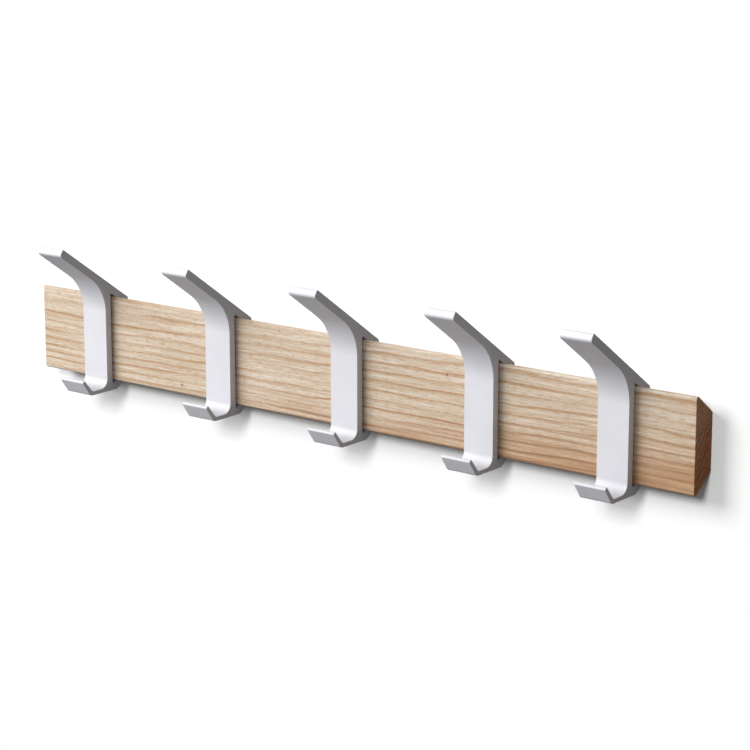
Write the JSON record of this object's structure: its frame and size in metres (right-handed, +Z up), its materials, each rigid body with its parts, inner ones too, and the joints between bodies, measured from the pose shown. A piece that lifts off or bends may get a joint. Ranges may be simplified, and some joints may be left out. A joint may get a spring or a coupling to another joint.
{
  "type": "wall coat rail",
  "caption": "Wall-mounted coat rail: a bevelled light wood batten carrying satin aluminium hooks, each with an upper arm and a lower trough, that slide along it.",
  "frame": {"origin": "middle of the rail's back face, on the wall, midway between the two screw holes", "axes": "+X along the rail, to the right as seen from the room; +Y into the wall, square to the back face; +Z up"},
  "size_m": [0.6, 0.0726, 0.1173],
  "materials": {
    "wood": "clear matt lacquer",
    "aluminium": "satin anodised"
  },
  "bodies": {
    "rail_body": {"rail": "wood"},
    "hook_1_body": {"hook_1": "aluminium"},
    "hook_2_body": {"hook_2": "aluminium"},
    "hook_3_body": {"hook_3": "aluminium"},
    "hook_4_body": {"hook_4": "aluminium"},
    "hook_5_body": {"hook_5": "aluminium"}
  },
  "joints": [
    {"name": "hook_1_slide", "type": "slide", "parent": "rail_body", "child": "hook_1_body", "axis": [1, 0, 0], "range_m": [-0.05125, 0.103]},
    {"name": "hook_2_slide", "type": "slide", "parent": "rail_body", "child": "hook_2_body", "axis": [1, 0, 0], "range_m": [-0.103, 0.096]},
    {"name": "hook_3_slide", "type": "slide", "parent": "rail_body", "child": "hook_3_body", "axis": [1, 0, 0], "range_m": [-0.096, 0.0935]},
    {"name": "hook_4_slide", "type": "slide", "parent": "rail_body", "child": "hook_4_body", "axis": [1, 0, 0], "range_m": [-0.0935, 0.0835]},
    {"name": "hook_5_slide", "type": "slide", "parent": "rail_body", "child": "hook_5_body", "axis": [1, 0, 0], "range_m": [-0.0835, 0.04625]}
  ]
}
